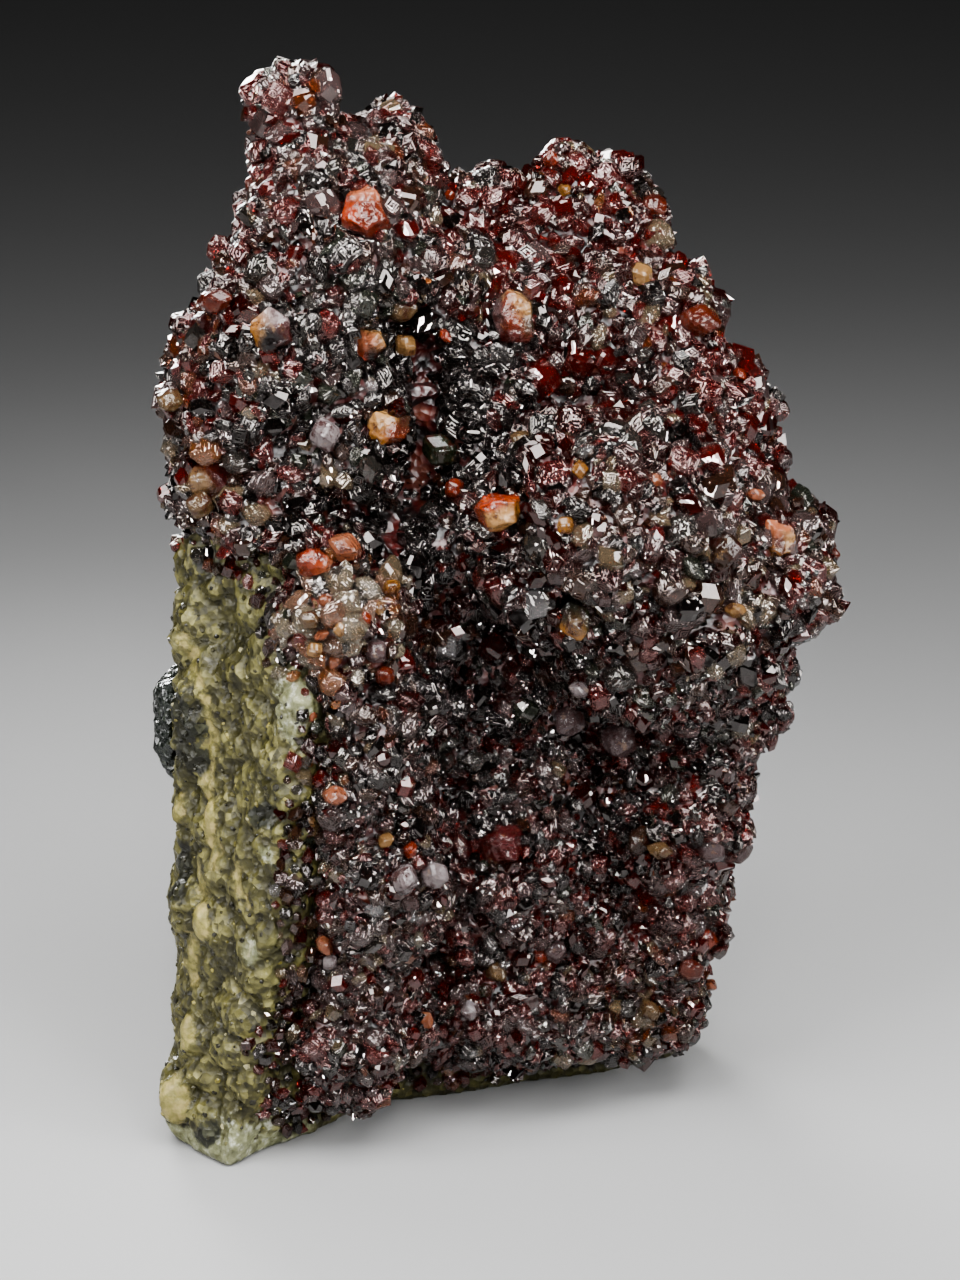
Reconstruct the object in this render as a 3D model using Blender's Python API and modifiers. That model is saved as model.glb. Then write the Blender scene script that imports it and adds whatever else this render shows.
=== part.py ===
"""A garnet specimen: a crust of intergrown garnet crystals on a broken block of olive-green matrix.

The specimen stands on the flat break under its matrix, with its crystal face towards -Y.
Blender units are metres; the dimensions below are millimetres, and MM turns them into metres.
They are measured from a point below the middle of the crystal face, and the finished specimen
is then moved so that BASE_CENTRE, the middle of the flat break, is the origin.
"""

import math
import random

import bmesh
import bpy
from mathutils import Euler, Matrix, Vector, noise
from mathutils.bvhtree import BVHTree

MM = 0.001

# Driving dimensions of the whole specimen
FIT_GAP = 0.3
BASE_CENTRE = (-6.0, 7.0, 0.0)
MATRIX_BELOW_BREAK = 4.0
MATRIX_VOXEL = 1.3
MATRIX_TRIANGLES = 1600
CRUST_VOXEL = 1.5
CRUST_SMOOTHING = 3
CRUST_FORM_TRIANGLES = 900
CRUST_TRIANGLES = 7300

# The crust's crystals: sink is the share of its width that one sits below the surface
CRYSTAL_SPACING = 4.5
CRYSTAL_ACROSS = (3.9, 6.0)
CRYSTAL_SINK = 0.26
CRYSTAL_LOWEST = 4.2
CRYSTAL_BACK_LIMIT = 17.0
CRYSTAL_OFF_MATRIX = 0.6
CRYSTAL_TRIES = 14
CRYSTAL_SEED = 6

# Broken rock: how deep its relief is, and the size and share of its chips and grain
MATRIX_RELIEF = 1.1
LUMP_RELIEF = 1.1
CHIP_SIZE = 7.0
CHIP_SHARE = 1.1
CHIP_FLOOR = 0.5
GRAIN_SIZE = 5.0
GRAIN_SHARE = 0.6
GRAIN_ROUGHNESS = 0.8
GRAIN_SCALE_STEP = 2.0
GRAIN_LEVELS = 4
MATRIX_SEED = 3.0
LUMP_SEED = 11.0

# Two triangles that meet at less than this angle, in radians, are one flat crystal face
FLAT_ANGLE = 0.1
MERGE_DISTANCE = 1e-7

# The garnet crust is a run of rounded swellings: centre x, y, z and half-widths x, y, z
CRUST_SWELLINGS = {
    "knob": ((-16.4, 1.0, 91.7), (3.4, 4.0, 6.3)),
    "tower": ((-13.0, -2.0, 82.0), (8.4, 8.6, 8.6)),
    "tower_back": ((-8.6, 6.0, 87.8), (4.6, 4.4, 5.4)),
    "saddle": ((-0.2, 10.0, 79.6), (7.6, 6.0, 6.4)),
    "right_peak": ((9.8, 11.0, 81.8), (6.0, 5.8, 6.4)),
    "right_slope": ((8.4, 8.0, 71.6), (12.8, 9.0, 10.0)),
    "right_shoulder": ((15.8, 6.0, 69.0), (6.6, 8.0, 7.6)),
    "right_flank": ((19.8, 4.0, 62.6), (6.9, 9.0, 7.8)),
    "left_shoulder": ((-16.3, -3.0, 74.4), (8.2, 9.0, 9.6)),
    "left_cheek": ((-19.6, -2.0, 68.0), (8.3, 9.0, 9.6)),
    "left_jaw": ((-18.5, -3.0, 60.0), (8.6, 9.0, 7.5)),
    "left_rib": ((-10.0, -5.0, 64.0), (5.2, 7.0, 9.0)),
    "bulge": ((11.0, -9.0, 58.0), (12.6, 10.4, 10.0)),
    "bulge_right": ((22.2, -3.0, 52.2), (9.6, 8.6, 7.6)),
    "bulge_tip": ((27.9, -1.0, 52.9), (3.9, 4.8, 6.0)),
    "bulge_under": ((16.0, -7.0, 47.0), (10.0, 8.6, 7.0)),
    "right_waist": ((20.8, 1.0, 41.0), (7.2, 9.0, 9.0)),
    "right_ledge": ((18.0, -3.0, 29.5), (6.4, 8.0, 5.5)),
    "right_skirt": ((15.9, 2.0, 20.0), (7.0, 9.0, 10.0)),
    "right_foot": ((13.8, 2.6, 9.0), (7.6, 7.0, 6.2)),
    "recess_floor": ((2.0, 1.0, 42.0), (11.0, 8.0, 14.0)),
    "recess_side": ((12.0, 2.0, 38.0), (9.0, 7.5, 13.0)),
    "recess_edge": ((-6.0, -3.5, 42.0), (4.5, 6.0, 15.0)),
    "cleft_floor": ((-2.0, 1.0, 68.0), (7.5, 7.0, 13.0)),
    "cleft_foot": ((-3.0, -1.0, 54.0), (6.5, 7.0, 9.0)),
    "lower_face": ((3.0, 0.0, 24.0), (13.0, 9.0, 14.0)),
    "lower_hem": ((2.0, -1.0, 10.2), (12.0, 8.0, 6.6)),
    "ridge_ledge": ((-12.0, -13.0, 51.0), (5.2, 6.0, 5.8)),
    "ledge_root": ((-9.5, -9.0, 55.5), (5.0, 5.0, 4.5)),
    "ridge": ((-10.5, -12.0, 40.0), (6.0, 6.8, 11.0)),
    "ridge_low": ((-10.5, -11.0, 26.0), (7.0, 6.8, 12.0)),
    "ridge_foot": ((-12.5, -9.5, 11.2), (7.3, 6.3, 8.0)),
}

# The matrix is broken blocks: each is rings of x, y corners at the heights named
MATRIX_BLOCKS = {
    "left_wall": {
        0.0: ((-23.5, -15.5), (-28.4, -9.6), (-28.8, 3), (-23, 17), (-8, 14), (-10, -1.5), (-17, -9)),
        20.0: ((-18.5, -17), (-27.1, -8), (-27.6, 5), (-23, 18), (-6, 14), (-8, -4), (-14, -13)),
        44.0: ((-15, -18), (-25.6, -5), (-27, 5), (-22, 18), (-6, 14), (-8, -5), (-11, -14)),
        57.0: ((-17, -12), (-26.4, -4), (-26.5, 5), (-20, 17), (-6, 14), (-8, -4)),
    },
    "lower_block": {
        0.0: ((-20, 4), (-23, 17), (-4, 21), (13, 19), (20, 13), (17.5, 8.5), (10, 4), (1, 2), (-10, -1.5)),
        20.0: ((-20, 4), (-23, 18), (-3, 22), (15, 20), (22, 12), (20, 5), (10, -0.5), (0, -2), (-9, -4)),
        44.0: ((-20, 4), (-22, 18), (-2, 22), (15, 20), (22, 12), (20, 5), (10, 0), (0, -1), (-9, -5)),
        55.0: ((-20, 4), (-20, 17), (-2, 21), (14, 19), (20, 12), (17, 5), (8, 1), (-8, -3)),
    },
    "upper_block": {
        50.0: ((-24, -2), (-24, 8), (-18, 17), (0, 20), (15, 18), (20, 9), (16, 2), (2, 0), (-10, -3)),
        72.0: ((-20, 1), (-18, 9), (-11, 15), (4, 17), (14, 15), (17, 10), (12, 6), (-8, 2)),
        81.0: ((-16, 3), (-13, 7), (-5, 12), (7, 14), (10, 12), (0, 9)),
    },
    "back_ledge": {
        4.0: ((-20, 12), (-16, 23), (2, 25), (9, 19)),
        26.0: ((-21, 12), (-15, 24.5), (4, 26), (10, 20)),
        37.0: ((-18, 14), (-12, 22), (2, 23), (6, 18)),
    },
    "back_rib": {
        30.0: ((4, 14), (6, 23), (15, 22), (18, 14)),
        62.0: ((2, 12), (4, 21.5), (12, 21), (16, 12)),
    },
}

# Pale rounded knobs stand proud down the matrix's left edge
MATRIX_KNOBS = {
    "foot_knob": ((-27.6, -9.4, 4.2), (2.0, 2.2, 3.6)),
    "low_knob": ((-26.4, -8.8, 12.6), (1.6, 1.8, 3.0)),
    "middle_knob": ((-26.2, -7.8, 21.6), (1.8, 1.8, 2.6)),
    "high_knob": ((-26.4, -6.6, 30.0), (1.4, 1.6, 3.2)),
}

# A dark lump grows from the left side of the matrix
LUMP_CENTRE = (-27.0, 1.5, 36.5)
LUMP_HALF = (3.1, 4.2, 4.8)
LUMP_TRIANGLES = 300

# Larger crystals of a lighter, orange garnet: centre, width across and turn in degrees
ORANGE_CRYSTALS = {
    "orange_crystal_crown": ((-9.8, -7.6, 85.8), 4.6, (20, 35, 10)),
    "orange_crystal_brow": ((-9.9, -7.5, 74.3), 3.6, (50, 15, 40)),
    "orange_crystal_cleft": ((-8.0, -9.7, 67.3), 3.8, (10, 60, 25)),
    "orange_crystal_slope": ((3.0, -2.1, 75.4), 4.8, (35, 20, 70)),
    "orange_crystal_fold": ((1.5, -15.1, 61.4), 5.2, (15, 40, 55)),
    "orange_crystal_ledge": ((-14.4, -14.4, 56.8), 3.4, (65, 30, 15)),
    "orange_crystal_jaw": ((-23.6, -8.8, 62.4), 4.0, (25, 10, 50)),
    "orange_crystal_cheek": ((-17.7, -11.4, 76.4), 4.0, (55, 25, 30)),
    "orange_crystal_tip": ((26.1, -8.4, 56.8), 3.6, (40, 55, 20)),
    "orange_crystal_bulge": ((8.3, -15.4, 51.5), 3.2, (15, 65, 45)),
    "red_crystal_recess": ((1.8, -7.9, 28.3), 4.4, (30, 45, 60)),
}


def clear_scene():
    for item in list(bpy.data.objects):
        bpy.data.objects.remove(item, do_unlink=True)


def make_collection(name):
    collection = bpy.data.collections.new(name)
    bpy.context.scene.collection.children.link(collection)
    return collection


def make_material(name, colour, roughness):
    material = bpy.data.materials.new(name)
    material.use_nodes = True
    shader = material.node_tree.nodes["Principled BSDF"]
    shader.inputs["Base Color"].default_value = (*colour, 1.0)
    shader.inputs["Roughness"].default_value = roughness
    shader.inputs["Metallic"].default_value = 0.0
    return material


def millimetres(values):
    return Vector(values) * MM


def object_from(name, shape, collection):
    """Makes an object from a bmesh, and frees the bmesh."""
    mesh = bpy.data.meshes.new(name)
    shape.to_mesh(mesh)
    shape.free()
    made = bpy.data.objects.new(name, mesh)
    collection.objects.link(made)
    return made


def make_guide(item):
    item.hide_render = True
    item.display_type = "WIRE"
    return item


def apply_modifiers(item):
    """Replaces the object's mesh with the one that its modifiers make."""
    graph = bpy.context.evaluated_depsgraph_get()
    mesh = bpy.data.meshes.new_from_object(item.evaluated_get(graph))
    item.modifiers.clear()
    old = item.data
    item.data = mesh
    bpy.data.meshes.remove(old)


def add_remesh(item, voxel):
    remesh = item.modifiers.new("One skin", "REMESH")
    remesh.mode = "VOXEL"
    remesh.voxel_size = voxel * MM


def add_decimate(item, triangles):
    """Thins the mesh to about that many triangles."""
    graph = bpy.context.evaluated_depsgraph_get()
    mesh = item.evaluated_get(graph).data
    mesh.calc_loop_triangles()
    thin = item.modifiers.new("Thin", "DECIMATE")
    thin.ratio = min(1.0, triangles / len(mesh.loop_triangles))
    thin.use_collapse_triangulate = True


def add_boolean(item, other, operation, overlapping=False):
    boolean = item.modifiers.new(operation.title(), "BOOLEAN")
    boolean.operation = operation
    boolean.object = other
    boolean.use_self = overlapping


def keep_largest_body(item):
    """Deletes all but the largest connected part of a mesh."""
    shape = bmesh.new()
    shape.from_mesh(item.data)
    unseen = set(shape.verts)
    bodies = []
    while unseen:
        body = {unseen.pop()}
        edge = list(body)
        while edge:
            near = [e.other_vert(v) for v in edge for e in v.link_edges]
            edge = list(set(near) - body)
            body.update(edge)
        unseen -= body
        bodies.append(body)
    bodies.sort(key=len, reverse=True)
    crumbs = [vert for body in bodies[1:] for vert in body]
    bmesh.ops.delete(shape, geom=crumbs, context="VERTS")
    shape.to_mesh(item.data)
    shape.free()


def add_ellipsoid(shape, centre, half_widths, subdivisions=3):
    place = Matrix.Translation(millimetres(centre)) @ Matrix.Diagonal((*millimetres(half_widths), 1.0))
    bmesh.ops.create_icosphere(shape, subdivisions=subdivisions, radius=1.0, matrix=place)


def add_block(shape, rings):
    """Adds the convex block around its rings of corners."""
    corners = []
    for height, ring in rings.items():
        for x, y in ring:
            corners.append(shape.verts.new(millimetres((x, y, height))))
    hull = bmesh.ops.convex_hull(shape, input=corners)
    inside = [v for v in hull["geom_interior"] if isinstance(v, bmesh.types.BMVert)]
    bmesh.ops.delete(shape, geom=inside, context="VERTS")


def roughen(item, depth, seed):
    """Pushes a mesh in and out like broken rock: flat-floored chips with finer grain over them."""
    shape = bmesh.new()
    shape.from_mesh(item.data)
    shape.normal_update()
    shift = Vector((seed, seed * 2.0, seed * 3.0))
    moves = []
    for vert in shape.verts:
        place = vert.co / MM
        chips = noise.voronoi(place / CHIP_SIZE + shift)[0][0] * CHIP_SHARE - CHIP_FLOOR
        grain = noise.fractal(place / GRAIN_SIZE + shift, GRAIN_ROUGHNESS, GRAIN_SCALE_STEP, GRAIN_LEVELS)
        moves.append(vert.normal * (chips + grain * GRAIN_SHARE) * depth * MM)
    for vert, move in zip(shape.verts, moves):
        vert.co += move
    shape.to_mesh(item.data)
    shape.free()


def cut_flat(item, height):
    """Cuts the mesh off at a height and closes the cut with a flat face."""
    shape = bmesh.new()
    shape.from_mesh(item.data)
    cut = bmesh.ops.bisect_plane(
        shape,
        geom=shape.verts[:] + shape.edges[:] + shape.faces[:],
        dist=MERGE_DISTANCE,
        plane_co=(0.0, 0.0, height * MM),
        plane_no=(0.0, 0.0, 1.0),
        clear_inner=True,
    )
    rim = [e for e in cut["geom_cut"] if isinstance(e, bmesh.types.BMEdge)]
    bmesh.ops.edgenet_fill(shape, edges=rim)
    bmesh.ops.recalc_face_normals(shape, faces=shape.faces[:])
    shape.to_mesh(item.data)
    shape.free()


def make_matrix(collection):
    shape = bmesh.new()
    for rings in MATRIX_BLOCKS.values():
        sunk = {(height if height > 0.0 else -MATRIX_BELOW_BREAK): ring for height, ring in rings.items()}
        add_block(shape, sunk)
    for centre, half_widths in MATRIX_KNOBS.values():
        add_ellipsoid(shape, centre, half_widths, subdivisions=2)
    matrix = object_from("matrix", shape, collection)
    add_remesh(matrix, MATRIX_VOXEL)
    apply_modifiers(matrix)
    roughen(matrix, MATRIX_RELIEF, MATRIX_SEED)
    add_decimate(matrix, MATRIX_TRIANGLES)
    apply_modifiers(matrix)
    cut_flat(matrix, 0.0)
    return matrix


def inflated_copy(item, gap, name, collection):
    """A cutter that is the object grown outwards by the gap."""
    cutter = bpy.data.objects.new(name, item.data.copy())
    collection.objects.link(cutter)
    grow = cutter.modifiers.new("Gap", "DISPLACE")
    grow.mid_level = 0.0
    grow.strength = gap * MM
    apply_modifiers(cutter)
    return make_guide(cutter)


def add_dodecahedron(shape, across, place):
    """Adds a rhombic dodecahedron, the usual crystal of garnet: a cube with a pyramid on each face."""
    side = across / math.sqrt(2.0) * MM
    cube = bmesh.ops.create_cube(shape, size=side)
    faces = {face for vert in cube["verts"] for face in vert.link_faces}
    raised = bmesh.ops.poke(shape, faces=list(faces), offset=side / 2.0)
    corners = {vert for face in raised["faces"] for vert in face.verts}
    edges = {edge for vert in corners for edge in vert.link_edges}
    seams = [edge for edge in edges if edge.calc_face_angle() < FLAT_ANGLE]
    bmesh.ops.dissolve_edges(shape, edges=seams, use_verts=False)
    bmesh.ops.transform(shape, matrix=place, verts=list(corners))


def make_crust_form(collection):
    """The rounded mass of the crust, before its crystals."""
    shape = bmesh.new()
    for centre, half_widths in CRUST_SWELLINGS.values():
        add_ellipsoid(shape, centre, half_widths)
    form = object_from("garnet_crust", shape, collection)
    add_remesh(form, CRUST_VOXEL)
    settle = form.modifiers.new("Settle", "SMOOTH")
    settle.iterations = CRUST_SMOOTHING
    add_decimate(form, CRUST_FORM_TRIANGLES)
    apply_modifiers(form)
    return form


def surface_points(item, spacing, chance):
    """Points spread over a mesh with that spacing, each with the surface's normal there."""
    mesh = item.data
    mesh.calc_loop_triangles()
    triangles = mesh.loop_triangles
    areas = [triangle.area for triangle in triangles]
    tries = int(sum(areas) / (spacing * MM) ** 2 * CRYSTAL_TRIES)
    picked = chance.choices(range(len(triangles)), weights=areas, k=tries)
    kept = []
    for index in picked:
        triangle = triangles[index]
        a, b, c = (mesh.vertices[v].co for v in triangle.vertices)
        along = math.sqrt(chance.random())
        across = chance.random()
        point = a * (1.0 - along) + b * along * (1.0 - across) + c * along * across
        if all((point - other).length_squared > (spacing * MM) ** 2 for other, _ in kept):
            kept.append((point, triangle.normal.copy()))
    return kept


def stands_clear(point, tree, clearance):
    """Whether a point is outside the closed mesh of a tree by the clearance."""
    near, normal, _, distance = tree.find_nearest(point)
    return (point - near).dot(normal) > 0.0 and distance > clearance * MM


def make_crystals(form, matrix, cutters):
    """One mesh of overlapping garnet crystals over all of the crust that shows."""
    chance = random.Random(CRYSTAL_SEED)
    matrix_tree = BVHTree.FromObject(matrix, bpy.context.evaluated_depsgraph_get())
    shape = bmesh.new()
    for point, normal in surface_points(form, CRYSTAL_SPACING, chance):
        across = chance.uniform(*CRYSTAL_ACROSS)
        turn = Euler([chance.uniform(0.0, math.tau) for _ in range(3)])
        seat = point - normal * across * CRYSTAL_SINK * MM
        too_low = point.z < CRYSTAL_LOWEST * MM
        too_far_back = point.y > CRYSTAL_BACK_LIMIT * MM
        if too_low or too_far_back or not stands_clear(point, matrix_tree, CRYSTAL_OFF_MATRIX):
            continue
        add_dodecahedron(shape, across, Matrix.Translation(seat) @ turn.to_matrix().to_4x4())
    return make_guide(object_from("crystals", shape, cutters))


def make_orange_crystals(collection, cutters):
    """The larger single crystals, and one cutter for the pockets that they sit in."""
    made = []
    pockets = bmesh.new()
    for name, (centre, across, turn) in ORANGE_CRYSTALS.items():
        place = Matrix.Translation(millimetres(centre))
        place = place @ Euler([math.radians(angle) for angle in turn]).to_matrix().to_4x4()
        crystal = bmesh.new()
        add_dodecahedron(crystal, across, place)
        made.append(object_from(name, crystal, collection))
        add_dodecahedron(pockets, across + 2.0 * FIT_GAP, place)
    return made, make_guide(object_from("pockets", pockets, cutters))


def make_lump(collection, matrix_cutter):
    shape = bmesh.new()
    add_ellipsoid(shape, LUMP_CENTRE, LUMP_HALF)
    lump = object_from("dark_lump", shape, collection)
    roughen(lump, LUMP_RELIEF, LUMP_SEED)
    add_decimate(lump, LUMP_TRIANGLES)
    add_boolean(lump, matrix_cutter, "DIFFERENCE")
    apply_modifiers(lump)
    keep_largest_body(lump)
    return lump


def move_to_base_centre(items):
    """Moves the finished meshes so that the middle of the flat break is the origin."""
    for item in items:
        item.data.transform(Matrix.Translation(-millimetres(BASE_CENTRE)))


def main():
    clear_scene()
    specimen = make_collection("garnet_in_matrix")
    cutters = make_collection("cutters")
    garnet = make_material("garnet", (0.085, 0.018, 0.014), 0.16)
    orange_garnet = make_material("orange_garnet", (0.46, 0.13, 0.05), 0.25)
    olive_rock = make_material("olive_rock", (0.27, 0.25, 0.13), 0.75)
    red_garnet = make_material("red_garnet", (0.16, 0.012, 0.012), 0.2)
    dark_rock = make_material("dark_rock", (0.045, 0.055, 0.05), 0.55)

    matrix = make_matrix(specimen)
    matrix_cutter = inflated_copy(matrix, FIT_GAP, "matrix_cutter", cutters)

    crust = make_crust_form(specimen)
    crystals = make_crystals(crust, matrix, cutters)
    singles, pockets = make_orange_crystals(specimen, cutters)
    add_boolean(crust, crystals, "UNION", overlapping=True)
    add_boolean(crust, matrix_cutter, "DIFFERENCE")
    add_boolean(crust, pockets, "DIFFERENCE")
    apply_modifiers(crust)
    keep_largest_body(crust)
    add_decimate(crust, CRUST_TRIANGLES)
    apply_modifiers(crust)

    lump = make_lump(specimen, matrix_cutter)

    matrix.data.materials.append(olive_rock)
    crust.data.materials.append(garnet)
    lump.data.materials.append(dark_rock)
    for single in singles:
        single.data.materials.append(red_garnet if single.name.startswith("red") else orange_garnet)
    move_to_base_centre(list(specimen.objects) + list(cutters.objects))


main()
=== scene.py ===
"""The looks of a garnet specimen: wine-red garnet crystals in a close crust on olive-green matrix.

The frame has its origin in the middle of the flat base, +Z up, and the crystal face towards -Y.
Lengths in the tables are millimetres; MM turns them into Blender's metres.
"""

import math

import bmesh
import bpy
import numpy as np
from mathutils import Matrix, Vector, noise
from mathutils.bvhtree import BVHTree


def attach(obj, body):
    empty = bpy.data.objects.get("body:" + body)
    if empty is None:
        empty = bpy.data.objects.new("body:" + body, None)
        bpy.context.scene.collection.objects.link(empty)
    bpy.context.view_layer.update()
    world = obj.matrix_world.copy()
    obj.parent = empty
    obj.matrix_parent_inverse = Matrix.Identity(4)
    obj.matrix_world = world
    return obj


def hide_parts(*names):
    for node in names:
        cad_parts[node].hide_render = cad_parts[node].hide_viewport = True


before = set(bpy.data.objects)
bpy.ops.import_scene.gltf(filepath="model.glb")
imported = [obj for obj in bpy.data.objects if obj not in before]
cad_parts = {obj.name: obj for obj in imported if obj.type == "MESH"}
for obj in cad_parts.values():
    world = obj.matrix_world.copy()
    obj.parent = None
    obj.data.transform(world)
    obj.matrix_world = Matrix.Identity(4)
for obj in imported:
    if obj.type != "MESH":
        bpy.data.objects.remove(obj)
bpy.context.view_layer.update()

MM = 0.001
SEED = 20
TRIES = 5

# The camera looks from above the crystal face; its target is the middle of the picture
VIEW_TARGET = (6.0, -7.0, 45.0)
VIEW_DISTANCE = 323.0
VIEW_ELEVATION = math.radians(18.0)
CAMERA_LENS = 100.0

# The crust's bed, the skin of garnet that shows between the crystals, coloured near black as painted shade
BED_VOXEL = 0.7
BED_SMOOTHING = 16
BED_INSET = 0.55
CRYSTALS_OFF_MATRIX = 0.5
CRYSTALS_LOWEST = 1.0

# Dark clefts between the crust's lumps: the line each follows, its half width, its depth, and how far
# from the line no crystal grows
CLEFTS = (
    (((1.1, -13.0, 72.6), (1.0, -15.0, 69.5), (1.1, -14.2, 65.7), (1.0, -14.1, 62.0), (-0.4, -16.5, 59.4),
      (-2.0, -18.5, 57.0)), 1.6, 4.5, 1.15),
    (((-0.4, -16.5, 59.4), (-3.6, -18.5, 60.4), (-7.0, -19.0, 60.2)), 1.2, 2.4, 0.3),
    (((17.0, -12.3, 34.6), (16.1, -14.6, 30.4), (16.8, -15.6, 25.0), (20.6, -13.4, 19.2)), 1.3, 2.0, 0.0),
    (((5.0, -20.0, 56.5), (8.5, -23.5, 56.8), (12.0, -25.9, 54.5), (15.4, -25.6, 51.8)), 1.2, 2.2, 0.0),
)
# How much nearer the clefts count things in front of or behind them
CLEFT_SQUASH = (1.0, 0.25, 1.0)

# Sizes of crystal in the crust: the spacing, the least and greatest width, how deep they sit as a share
# of their width, how far they stand in or out, and which pattern they are copied from
CRYSTAL_SIZES = {
    "large_crystals": (2.1, (1.9, 3.3), 0.14, 0.35, "stepped"),
    "blunt_crystals": (1.7, (1.4, 2.6), 0.14, 0.40, "trapezohedron"),
    "main_crystals": (1.25, (1.0, 2.0), 0.10, 0.45, "dodecahedron"),
    "small_crystals": (1.05, (0.6, 1.3), 0.10, 0.35, "dodecahedron"),
    "tiny_crystals": (0.85, (0.5, 1.1), -0.05, 0.30, "splinter"),
}
# How far a crystal's three widths differ
CRYSTAL_STRETCH = {
    "stepped": (0.60, 1.12), "trapezohedron": (0.50, 1.25), "dodecahedron": (0.40, 1.40), "splinter": (0.30, 1.50),
}
# Below the bulge the crystals are finer
FINE_BELOW = (38.0, 50.0)
FINENESS = 0.74

# Body colours of the garnet; mauve is partly its own frosted colour and partly a painted sheen of reflected light
GARNET_COLOURS = {
    "black": (0.030, 0.022, 0.020),
    "deep": (0.120, 0.015, 0.011),
    "wine": (0.340, 0.030, 0.022),
    "brown": (0.170, 0.074, 0.045),
    "rust": (0.480, 0.130, 0.050),
    "mauve": (0.340, 0.225, 0.215),
    "smoke": (0.140, 0.122, 0.105),
    "green": (0.110, 0.125, 0.085),
    "tan": (0.640, 0.480, 0.300),
    "orange": (0.750, 0.280, 0.090),
    "cream": (0.800, 0.680, 0.500),
    "peach": (0.780, 0.450, 0.300),
    "amber": (0.750, 0.460, 0.150),
    "pale": (0.650, 0.620, 0.620),
}

# How usual each colour is all over the crust, and how much more so round these places: centre, reach
CRUST_COLOURS = {
    "black": 1.4, "deep": 1.5, "wine": 1.3, "brown": 0.7, "mauve": 0.38, "smoke": 0.38,
    "green": 0.15, "rust": 0.10, "tan": 0.08, "orange": 0.03, "cream": 0.03, "pale": 0.04,
}
COLOUR_ZONES = (
    ((-10.0, -8.0, 96.0), 8.0, {"mauve": 4.0, "wine": 6.0, "deep": 2.0, "brown": 2.0, "rust": 1.5}),
    ((-4.0, -14.0, 89.0), 9.0, {"mauve": 2.0, "brown": 2.0, "tan": 0.4}),
    ((-13.0, -9.0, 86.0), 5.0, {"wine": 3.0, "rust": 1.5, "brown": 2.0}),
    ((14.0, 0.0, 86.0), 12.0, {"wine": 3.0, "brown": 2.0, "deep": 2.0, "tan": 0.3}),
    ((13.5, 1.0, 88.0), 5.0, {"tan": 1.5, "brown": 2.0, "mauve": 1.5, "orange": 0.3}),
    ((22.0, -4.0, 74.0), 14.0, {"wine": 5.0, "deep": 3.0}),
    ((24.0, -6.0, 76.0), 6.0, {"mauve": 2.0, "tan": 1.5, "rust": 1.5, "wine": 2.0}),
    ((-18.0, -14.0, 74.0), 7.0, {"wine": 4.0, "rust": 3.5, "brown": 1.0, "mauve": 1.0}),
    ((-21.0, -14.0, 66.0), 5.5, {"brown": 3.0, "tan": 1.2, "deep": 3.0, "black": 1.5}),
    ((-18.0, -16.0, 60.5), 4.5, {"tan": 4.0, "brown": 3.0, "rust": 1.0}),
    ((-5.0, -18.0, 72.0), 11.0, {"green": 3.0, "smoke": 2.0, "black": 8.0}),
    # Painted shade: these black zones lie along the clefts and make the crystals in and beside them near black
    ((2.0, -14.0, 66.0), 8.0, {"black": 9.0}),
    ((1.1, -11.0, 71.5), 3.2, {"black": 60.0}), ((1.1, -11.5, 66.5), 3.4, {"black": 90.0}),
    ((0.8, -12.0, 61.5), 3.4, {"black": 90.0}), ((-1.2, -15.0, 58.0), 3.2, {"black": 40.0}),
    ((-5.0, -17.0, 60.3), 2.6, {"black": 20.0, "deep": 20.0}), ((16.4, -13.0, 30.0), 4.0, {"black": 12.0, "deep": 6.0}),
    ((17.5, -13.0, 24.0), 3.5, {"black": 12.0, "deep": 6.0}), ((9.5, -22.0, 56.0), 3.5, {"black": 8.0, "deep": 8.0}),
    ((-5.0, -18.0, 66.0), 4.5, {"smoke": 2.5, "brown": 2.5, "tan": 1.2, "pale": 0.4}),
    ((14.0, -24.0, 62.0), 11.0, {"smoke": 1.5, "brown": 2.0, "deep": 3.0, "black": 2.0, "tan": 0.6}),
    ((27.0, -20.0, 57.0), 7.0, {"brown": 2.5, "tan": 1.2, "mauve": 2.0}),
    ((32.0, -11.0, 58.0), 8.0, {"mauve": 2.5, "brown": 2.0, "tan": 0.5}),
    ((20.0, -22.0, 46.0), 9.0, {"deep": 3.0, "green": 1.5, "black": 2.0}),
    ((7.0, -14.0, 38.0), 13.0, {"black": 7.0, "deep": 3.0, "smoke": 1.0}),
    ((-6.0, -24.0, 54.0), 4.0, {"cream": 8.0, "orange": 3.0, "tan": 6.0, "smoke": 3.0, "peach": 3.0}),
    ((-7.0, -25.0, 50.0), 3.5, {"cream": 8.0, "peach": 5.0, "orange": 3.0, "tan": 4.0}),
    ((-6.0, -26.0, 38.0), 8.0, {"mauve": 2.0, "brown": 2.0, "tan": 0.8, "smoke": 1.0}),
    ((5.0, -15.0, 20.0), 13.0, {"mauve": 2.0, "wine": 2.0, "deep": 2.0, "black": 1.0}),
    ((26.0, -12.0, 24.0), 11.0, {"wine": 6.0, "deep": 1.5, "mauve": 2.0, "rust": 0.8}),
    ((-5.0, -24.0, 20.0), 7.0, {"mauve": 3.0, "brown": 2.0, "tan": 1.5, "peach": 0.4}),
    ((27.0, -9.0, 14.0), 4.5, {"rust": 3.0, "orange": 1.5, "tan": 2.0, "brown": 1.5}),
    ((20.0, -13.0, 10.0), 4.5, {"tan": 2.0, "brown": 2.0, "rust": 1.0, "green": 1.0}),
    ((5.0, -14.0, 6.0), 7.0, {"wine": 3.0, "mauve": 2.0, "rust": 0.6}),
)
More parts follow.
